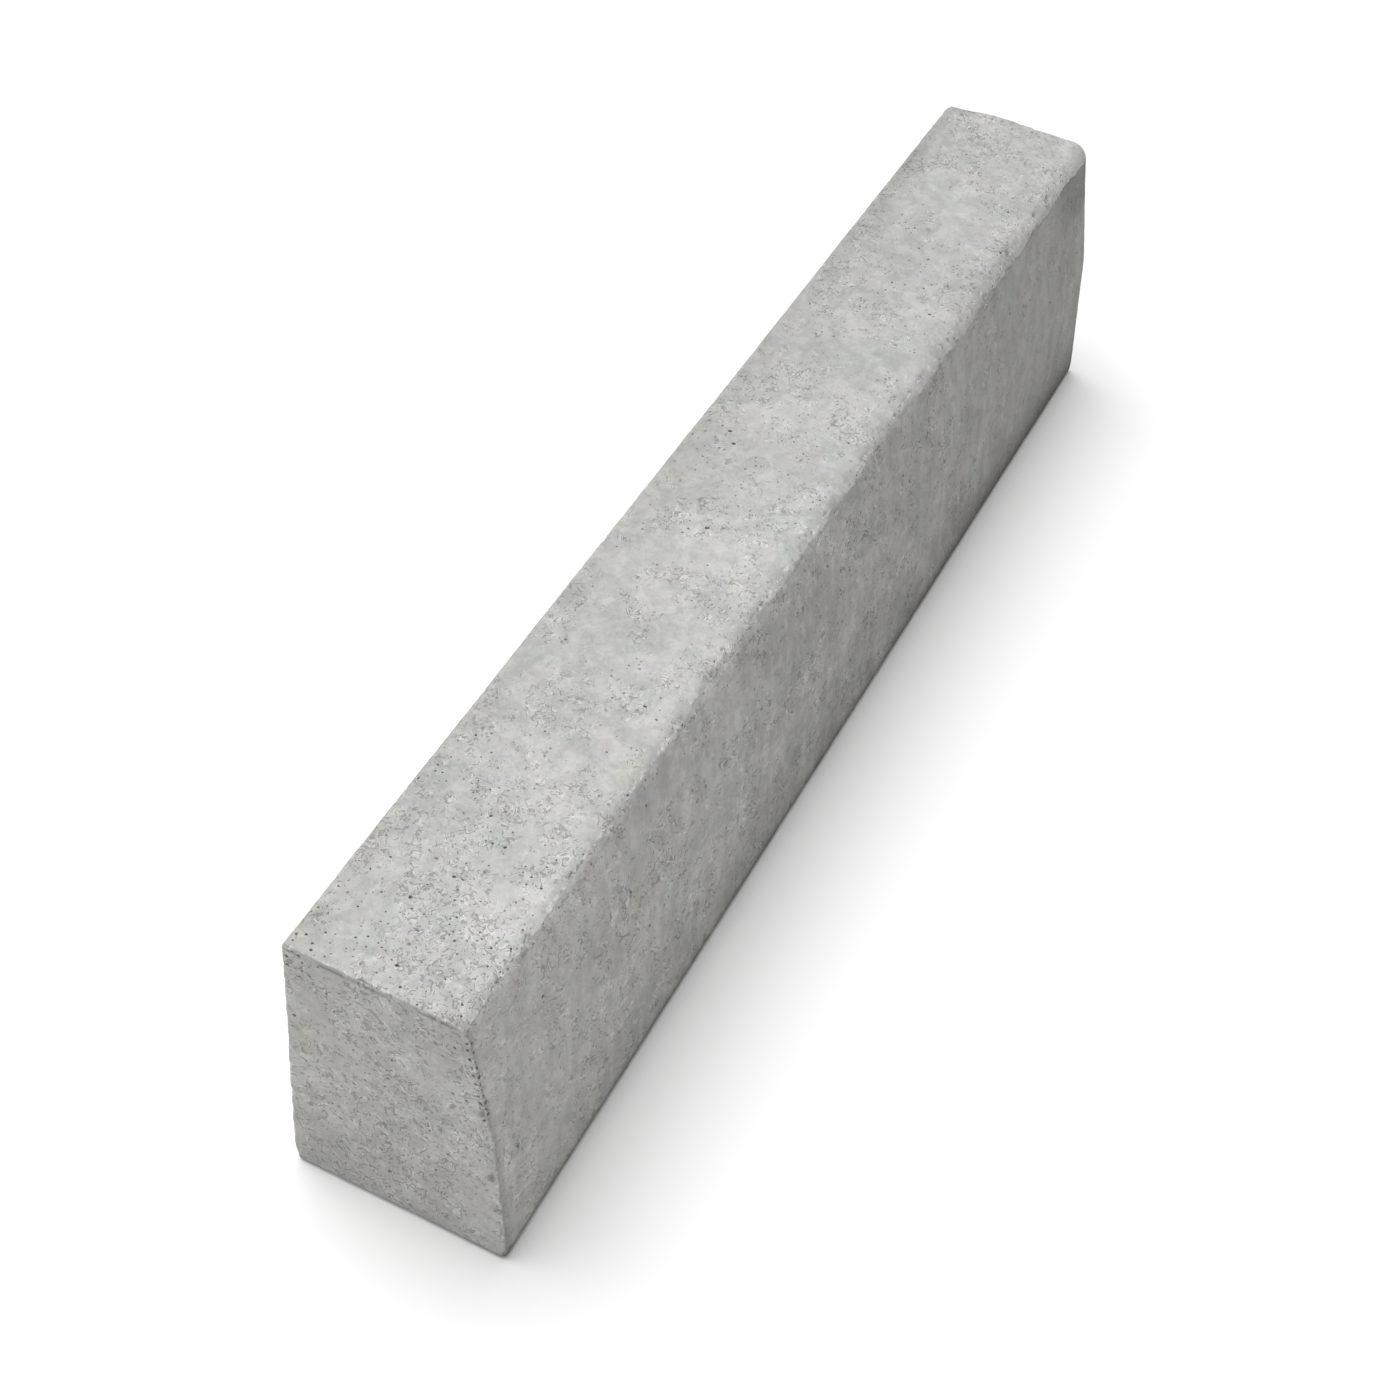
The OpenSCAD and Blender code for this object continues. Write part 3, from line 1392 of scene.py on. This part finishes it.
    def streaks(self, ground: Ground) -> Socket:
        """Work out the faint upright streaks down the road face.

        Args:
            ground: The node tree and the point.

        Returns:
            A factor about 1.
        """
        sheet = ground.sheet
        upright = sheet.drawn_out(ground.place, self.streak_draw)
        return sheet.only(ground.road, sheet.picked(upright, self.runs))

    def flank(self, ground: Ground) -> Socket:
        """Work out how the moulded faces differ from the top, with painted shade that darkens them
        towards the foot and painted light that brightens the whole kerb towards its near end.

        Args:
            ground: The node tree and the point.

        Returns:
            A factor about 1.
        """
        sheet = ground.sheet
        x, z, road = ground.x, ground.z, ground.road
        cloud = sheet.blots(ground.place, self.back_tone_and_foot_shade_clouds)
        clouded = sheet.spread(cloud, *self.back_strip_clouds)
        back_strip = sheet.times(sheet.spread(ground.y, *self.back_strip), clouded)
        far_back = sheet.times(
            sheet.spread(ground.y, *self.far_back_strip),
            self.along(sheet, x, *self.far_back_stretch),
        )
        top = sheet.times(
            sheet.spread(back_strip, 0.0, 1.0, *self.top_tones),
            sheet.tone(far_back, self.far_back_tone),
        )
        # Painted shade, eased up from the bed with a cloudy upper edge
        foot_shade_level = sheet.plus(z, sheet.times(sheet.minus(cloud, 0.5), self.foot_shade_wander))
        # A darker patch high on the road face by the far end
        low, high = (self.height - drop for drop in self.corner_patch_drops)
        corner_patch = sheet.times(
            self.along(sheet, x, *self.corner_patch_stretch),
            sheet.spread(z, low, high),
            road,
        )
        side = sheet.times(
            sheet.spread(foot_shade_level, *self.foot_shade_tones),
            # Painted contact shade where the kerb meets the floor
            sheet.spread(z, *self.bed_contact_shade_tones),
            # Painted shade on the road face, darker towards its far end and its foot
            sheet.only(road, self.painted_road_shade(ground)),
            sheet.tone(corner_patch, self.corner_patch_tone),
        )
        both = sheet.plus(side, sheet.times(ground.skin, sheet.minus(top, side)))
        # Painted light: lighter towards the near end, darker towards the far end
        return sheet.times(both, self.along(sheet, x, -0.5, 0.5, *self.near_to_far_light_tones))

    def painted_road_shade(self, ground: Ground) -> Socket:
        """Work out the painted shade that darkens the road face towards its far end and its foot.

        Args:
            ground: The node tree and the point.

        Returns:
            A factor about 1.
        """
        sheet = ground.sheet
        x, z = ground.x, ground.z
        foot_height = self.along(sheet, x, -0.5, 0.5, *self.road_foot_shade_heights)
        above_foot = sheet.step("DIVIDE", z, foot_height)
        by_middle = self.along(sheet, sheet.off(x, 0.0), *self.middle_stretch)
        by_far_end = self.along(sheet, x, *self.far_stretch)
        middle_shade_loss = sheet.spread(z, *self.middle_foot_shade_loss)
        far_shade_loss = sheet.spread(z, *self.far_foot_shade_loss)
        return sheet.times(
            self.along(sheet, x, -0.5, 0.5, *self.road_light_tones),
            sheet.spread(above_foot, 0.0, 1.0, self.road_foot_shade_tone, 1.0),
            sheet.minus(1.0, sheet.times(by_middle, middle_shade_loss)),
            sheet.minus(1.0, sheet.times(by_far_end, far_shade_loss)),
        )

    def painted_lap_highlight_and_shadow(self, ground: Ground) -> Socket:
        """Work out the painted highlight along the edge of the skin where it laps over the nosing, with
        a painted shadow line below it.

        Args:
            ground: The node tree and the point.

        Returns:
            A factor about 1.
        """
        sheet = ground.sheet
        # Painted highlight on the edge, painted shadow line under it
        pale = sheet.spread(sheet.off(ground.lap, self.brim_height), *self.brim_highlight_gain)
        dark = sheet.spread(sheet.off(ground.lap, self.brim_shadow_height), *self.brim_shadow_loss)
        where = sheet.times(
            sheet.spread(ground.y, *self.brim_strip),
            self.along(sheet, ground.x, *self.brim_stretch),
            sheet.picked(ground.place, self.brim_breaks),
        )
        return sheet.plus(1.0, sheet.times(where, sheet.minus(pale, dark)))

    def near_arris_shadow_and_band(self, ground: Ground) -> Socket:
        """Work out the painted shadow line under the near end's top arris and the dark band by its road
        arris.

        Args:
            ground: The node tree and the point.

        Returns:
            A factor of 1 or less.
        """
        sheet = ground.sheet
        inward = sheet.plus(ground.x, 0.5 * self.length)
        # Painted shadow just under the top arris of the near end
        lip_shadow = sheet.times(
            sheet.spread(sheet.off(ground.z, self.height - self.lip_drop), *self.lip_edge),
            sheet.picked(ground.place, self.lip_breaks),
            sheet.spread(inward, *self.lip_shadow_loss),
        )
        width = sheet.spread(ground.z, *self.band_width)
        band = sheet.times(
            sheet.spread(sheet.step("DIVIDE", inward, width), *self.band_loss),
            sheet.spread(inward, *self.band_edge),
            sheet.spread(ground.y, *self.band_strip),
        )
        return sheet.minus(1.0, sheet.plus(lip_shadow, band))

    def pinholes(self, ground: Ground) -> Socket:
        """Find the pinholes that are too fine for the mesh.

        Args:
            ground: The node tree and the point.

        Returns:
            1 in a pinhole and 0 elsewhere.
        """
        sheet = ground.sheet
        inputs = {"Vector": ground.place, "Scale": METRE / self.pinhole_spacing}
        cells = sheet.add("ShaderNodeTexVoronoi", inputs)
        draw = sheet.add("ShaderNodeSeparateColor", {"Color": cells.outputs["Color"]}).outputs["Red"]
        crowd = sheet.picked(ground.place, self.pinhole_crowds)
        size = sheet.spread(sheet.plus(draw, crowd), *self.pinhole_size)
        return sheet.spread(sheet.minus(size, cells.outputs["Distance"]), *self.pinhole_edge)

    def curls(self, ground: Ground) -> tuple[Socket, Socket]:
        """Find the short curled marks in the skin, each dark one with a pale one beside it, as painted
        shade and painted highlight of their fine relief.

        Args:
            ground: The node tree and the point.

        Returns:
            Shares from 0 to 1 of the dark marks and of the pale ones.
        """
        sheet = ground.sheet
        marks = ground.marks
        near = self.along(sheet, ground.x, *self.near_crowding)
        far = self.along(sheet, ground.x, *self.far_crowding)
        cluster = sheet.plus(sheet.blots(ground.place, self.mark_crowds), sheet.plus(near, far))
        crowd = sheet.times(sheet.spread(cluster, *self.mark_share), ground.bold)
        flow = sheet.minus(sheet.blots(marks, self.mark_lines), 0.5)
        broken = sheet.picked(marks, self.mark_breaks)
        line = sheet.spread(sheet.off(flow, 0.0), *self.dark_line)
        ridge = sheet.spread(sheet.off(flow, self.pale_line_offset), *self.pale_line)
        speck = sheet.picked(marks, self.dark_specks)
        fleck = sheet.picked(marks, self.pale_specks)
        dark = sheet.step("MAXIMUM", sheet.times(line, broken), speck)
        pale = sheet.step("MAXIMUM", sheet.times(ridge, broken), fleck)
        return sheet.times(dark, crowd), sheet.times(pale, crowd)

    def scuffs(self, ground: Ground) -> Socket:
        """Work out the pale flecks where the arrises are rubbed.

        Args:
            ground: The node tree and the point.

        Returns:
            A factor of 1 or more.
        """
        sheet = ground.sheet
        worn = sheet.spread(sheet.kept("wear"), *self.scuff_wear)
        fleck = sheet.picked(ground.place, self.scuff_specks)
        return sheet.tone(sheet.times(worn, fleck), self.scuff_tone)

    def crazing(self, ground: Ground) -> Socket:
        """Work out the broken hairlines of the skin.

        Args:
            ground: The node tree and the point.

        Returns:
            A factor of 1 or less.
        """
        sheet = ground.sheet
        crack = sheet.off(sheet.blots(ground.marks, self.crack_lines), 0.5)
        broken = sheet.picked(ground.place, self.crack_breaks)
        dark = sheet.times(sheet.spread(crack, *self.crack_line), broken)
        return sheet.tone(dark, self.crack_tone)

    def stains(self, ground: Ground, colour: Socket) -> Socket:
        """Lay faint greenish, pinkish and yellowish stains over the paste.

        Args:
            ground: The node tree and the point.
            colour: The paste's colour.

        Returns:
            The stained colour.
        """
        sheet = ground.sheet
        for grain, stain in self.stain_grains:
            cloud = replace(self.stain_clouds, grain=grain)
            colour = sheet.mix(sheet.picked(ground.place, cloud), colour, stain, blend="MULTIPLY")
        return colour

    def relief(self, ground: Ground, holes: Socket, dark: Socket) -> Socket:
        """Work out the skin's finest relief.

        Args:
            ground: The node tree and the point.
            holes: 1 in a pinhole.
            dark: Share of the dark marks, which are sunk a little.

        Returns:
            A height, in millimetres.
        """
        sheet = ground.sheet
        grit = sheet.times(sheet.blots(ground.place, self.grit), self.grit_height)
        lumps = sheet.times(sheet.blots(ground.place, self.lumps), self.lump_height)
        proud = sheet.times(ground.skin, self.skin_height)
        sunk = sheet.plus(sheet.times(holes, self.pinhole_depth), sheet.times(dark, self.mark_depth))
        return sheet.minus(sheet.plus(sheet.plus(grit, lumps), proud), sunk)


@dataclass
class Studio:
    """A pale floor under a high soft light, in a dim even room."""

    floor_reach: float = 14.0
    floor_shade: float = 0.95
    room_strength: float = 0.22
    key_strength: float = 1.95
    key_spread: float = 38.0
    soft_strength: float = 1.00
    soft_spread: float = 90.0
    lean_back: float = 15.5
    lean_near: float = -1.0
    fill_power: float = 3.5
    fill_size: float = 1.4
    fill_place: tuple[float, float, float] = (-2.3, -0.9, 1.3)

    def build(self) -> None:
        """Build the floor and the lights."""
        self.lay_floor()
        self.hang_lamp("key_light", self.key_strength, self.key_spread)
        self.hang_lamp("soft_light", self.soft_strength, self.soft_spread)
        self.stand_fill()
        self.light_room()

    def lay_floor(self) -> None:
        """Lay the floor."""
        reach = self.floor_reach
        turns = ((-reach, -reach), (reach, -reach), (reach, reach), (-reach, reach))
        corners = [(x, y, 0.0) for x, y in turns]
        mesh = bpy.data.meshes.new("floor")
        mesh.from_pydata(corners, [], [(0, 1, 2, 3)])
        sheet = NodeSheet("studio_floor")
        pale = (self.floor_shade, self.floor_shade, self.floor_shade, 1.0)
        shader = sheet.add("ShaderNodeBsdfDiffuse", {"Color": pale})
        sheet.add("ShaderNodeOutputMaterial", {"Surface": shader.outputs["BSDF"]})
        mesh.materials.append(sheet.material)
        floor = put_in_scene("floor", mesh)

    def hang_lamp(self, name: str, strength: float, spread: float) -> None:
        """Hang a high lamp that leans over the kerb's back.

        Args:
            name: The lamp's name.
            strength: Its strength.
            spread: How wide it looks from the kerb, in degrees.
        """
        lamp = bpy.data.lights.new(name, "SUN")
        lamp.energy = strength
        lamp.angle = math.radians(spread)
        near = math.tan(math.radians(self.lean_near))
        back = math.tan(math.radians(self.lean_back))
        self.aim(put_in_scene(name, lamp), Vector((-near, back, 1.0)))

    def stand_fill(self) -> None:
        """Stand a weak panel of light off the near end."""
        lamp = bpy.data.lights.new("fill_light", "AREA")
        lamp.energy = self.fill_power
        lamp.size = self.fill_size
        fill = put_in_scene("fill_light", lamp)
        fill.location = self.fill_place
        self.aim(fill, Vector(self.fill_place))

    def aim(self, lamp: bpy.types.Object, back: Vector) -> None:
        """Turn a lamp to shine away from a direction.

        Args:
            lamp: The lamp.
            back: The direction behind it.
        """
        lamp.rotation_mode = "QUATERNION"
        lamp.rotation_quaternion = back.to_track_quat("Z", "Y")

    def light_room(self) -> None:
        """Fill the room with dim even light, and leave its walls white."""
        world = bpy.data.worlds.new("room")
        world.use_nodes = True
        tree = world.node_tree
        tree.nodes.clear()
        fill = tree.nodes.new("ShaderNodeBackground")
        wall = tree.nodes.new("ShaderNodeBackground")
        for background in (fill, wall):
            background.inputs["Color"].default_value = WHITE
        fill.inputs["Strength"].default_value = self.room_strength
        path = tree.nodes.new("ShaderNodeLightPath")
        choose = tree.nodes.new("ShaderNodeMixShader")
        output = tree.nodes.new("ShaderNodeOutputWorld")
        tree.links.new(path.outputs["Is Camera Ray"], choose.inputs["Fac"])
        tree.links.new(fill.outputs["Background"], choose.inputs[1])
        tree.links.new(wall.outputs["Background"], choose.inputs[2])
        tree.links.new(choose.outputs["Shader"], output.inputs["Surface"])
        bpy.context.scene.world = world
        bpy.context.scene.view_settings.view_transform = "Standard"


@dataclass
class Viewpoint:
    """The camera, above the near end and a little to the road side."""

    place: tuple[float, float, float] = (-1.173, -0.420, 1.309)
    azimuth: float = -68.7
    elevation: float = 46.6
    roll: float = 6.8
    lens: float = 62.2
    sensor: float = 36.0

    def build(self) -> None:
        """Make the camera and use it."""
        around = math.radians(self.azimuth)
        above = math.radians(self.elevation)
        back = Vector((
            math.sin(around) * math.cos(above),
            -math.cos(around) * math.cos(above),
            math.sin(above),
        ))
        right = (-back).cross(Vector((0.0, 0.0, 1.0))).normalized()
        up = back.cross(right)
        rolled = Matrix.Rotation(math.radians(self.roll), 4, "Z")
        turn = Matrix((right, up, back)).transposed().to_4x4() @ rolled
        data = bpy.data.cameras.new("viewpoint")
        data.lens = self.lens
        data.sensor_width = self.sensor
        camera = put_in_scene("viewpoint", data)
        camera.matrix_world = Matrix.Translation(self.place) @ turn
        bpy.context.scene.camera = camera


def main() -> None:
    """Build the kerb, its room and its camera."""
    logging.basicConfig(level=logging.INFO, format="%(message)s")
    low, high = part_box(NODE)
    extent = [METRE * side for side in high - low]
    section = Section(length=extent[0], width=extent[1], height=extent[2])
    kerb = CastKerb(section, Weathering(), Blowholes()).build()
    kerb.data.materials.append(ConcreteFinish(section.length, section.height).make())
    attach(kerb, BODY)
    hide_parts(NODE)
    Studio().build()
    log.info("studio: floor, lamps and room")
    Viewpoint().build()
    log.info("viewpoint: camera")


if __name__ == "__main__":
    main()
